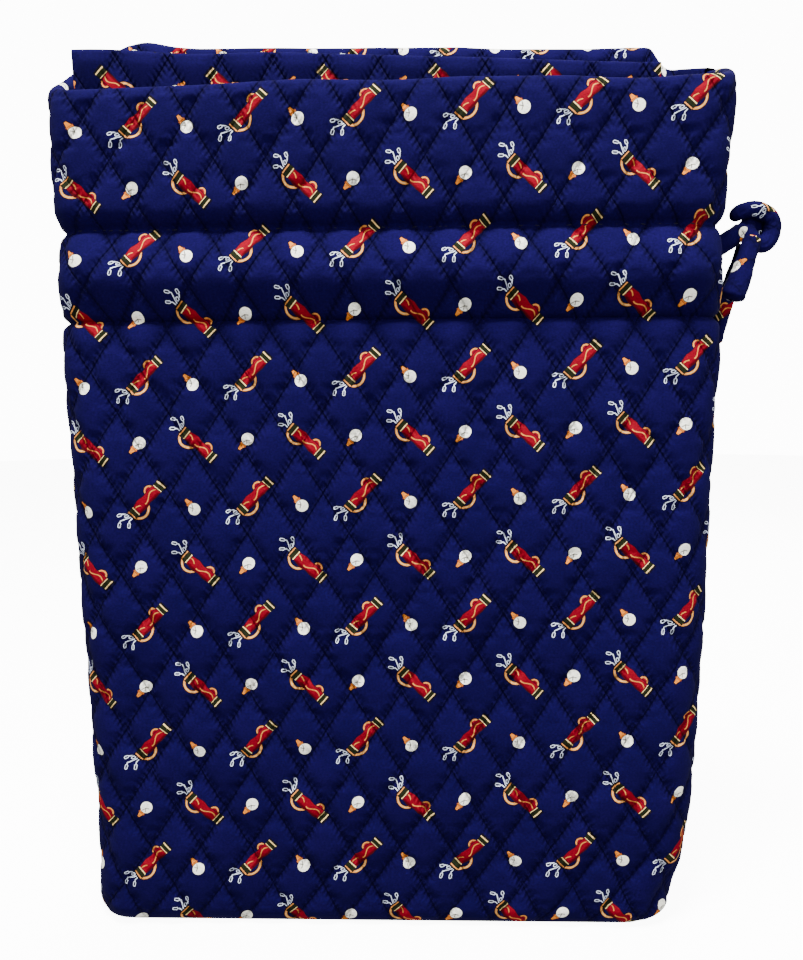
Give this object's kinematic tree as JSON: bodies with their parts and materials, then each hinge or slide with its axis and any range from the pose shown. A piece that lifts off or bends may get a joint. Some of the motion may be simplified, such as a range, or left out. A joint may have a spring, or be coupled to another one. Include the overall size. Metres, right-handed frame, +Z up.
{
  "type": "golf shoe bag",
  "caption": "Quilted drawstring bag for a pair of golf shoes, with a padded divider, a corded casing below a ruffled header and a boxed bottom.",
  "frame": {"origin": "middle of the boxed bottom, on the surface it stands on", "axes": "+X to the bag's right side where the drawstring comes out, +Y to its back, +Z up"},
  "size_m": [0.3464, 0.072, 0.432],
  "materials": {
    "printed_cotton": "quilted cotton with a small golf bag print",
    "batting": "soft polyester filling",
    "lining": "plain woven cotton",
    "drawstring_cotton": "sewn tube of the same cotton",
    "thread": "matt sewing thread"
  },
  "bodies": {
    "bag": {"back_batting": "batting", "back_lining": "lining", "back_outer_cloth": "printed_cotton", "bottom_batting": "batting", "bottom_lining": "lining", "bottom_outer_cloth": "printed_cotton", "drawstring_left_turn": "drawstring_cotton", "drawstring_right_back_turn": "drawstring_cotton", "drawstring_right_front_turn": "drawstring_cotton", "front_batting": "batting", "front_lining": "lining", "front_outer_cloth": "printed_cotton", "left_header_side_batting": "batting", "left_header_side_cloth": "printed_cotton", "left_header_side_facing": "printed_cotton", "left_header_side_fold": "printed_cotton", "left_side_batting": "batting", "left_side_seam": "printed_cotton", "right_header_side_batting": "batting", "right_header_side_cloth": "printed_cotton", "right_header_side_facing": "printed_cotton", "right_header_side_fold": "printed_cotton", "right_side_batting": "batting", "right_side_seam": "printed_cotton"},
    "front_header": {"drawstring_front_run": "drawstring_cotton", "front_header_batting": "batting", "front_header_cloth": "printed_cotton", "front_header_facing": "printed_cotton", "front_header_fold": "printed_cotton", "front_lower_casing_stitches": "thread", "front_upper_casing_stitches": "thread"},
    "back_header": {"back_header_batting": "batting", "back_header_cloth": "printed_cotton", "back_header_facing": "printed_cotton", "back_header_fold": "printed_cotton", "back_lower_casing_stitches": "thread", "back_upper_casing_stitches": "thread", "drawstring_back_run": "drawstring_cotton"},
    "divider": {"divider_back_cloth": "printed_cotton", "divider_batting": "batting", "divider_front_cloth": "printed_cotton"},
    "drawstring": {"drawstring_knot": "drawstring_cotton", "drawstring_front_strand": "drawstring_cotton", "drawstring_back_strand": "drawstring_cotton"},
    "front_tail": {"drawstring_front_tail": "drawstring_cotton"},
    "back_tail": {"drawstring_back_tail": "drawstring_cotton"}
  },
  "joints": [
    {"name": "drawstring_pull", "type": "slide", "parent": "bag", "child": "drawstring", "axis": [1, 0, 0], "range_m": [0, 0.08]},
    {"name": "back_header_close", "type": "hinge", "parent": "bag", "child": "back_header", "pos_m": [0, 0.023, 0.2923], "axis": [1, 0, 0], "range_deg": [0, 8]},
    {"name": "front_header_open", "type": "hinge", "parent": "bag", "child": "front_header", "pos_m": [0, -0.0299, 0.2923], "axis": [1, 0, 0], "range_deg": [0, 17]},
    {"name": "divider_sway", "type": "hinge", "parent": "bag", "child": "divider", "pos_m": [0, 0, 0.005], "axis": [-1, 0, 0], "range_deg": [0, 2]},
    {"name": "front_tail_swing", "type": "hinge", "parent": "drawstring", "child": "front_tail", "pos_m": [0.1736, -0.0104, 0.3286], "axis": [0, -1, 0], "range_deg": [0, 70]},
    {"name": "back_tail_swing", "type": "hinge", "parent": "drawstring", "child": "back_tail", "pos_m": [0.1765, 0.0084, 0.328], "axis": [0, -1, 0], "range_deg": [0, 70]}
  ],
  "couplings": [
    {"joint": "back_header_close", "follows": "drawstring_pull", "rad_per_m": 1.74}
  ]
}
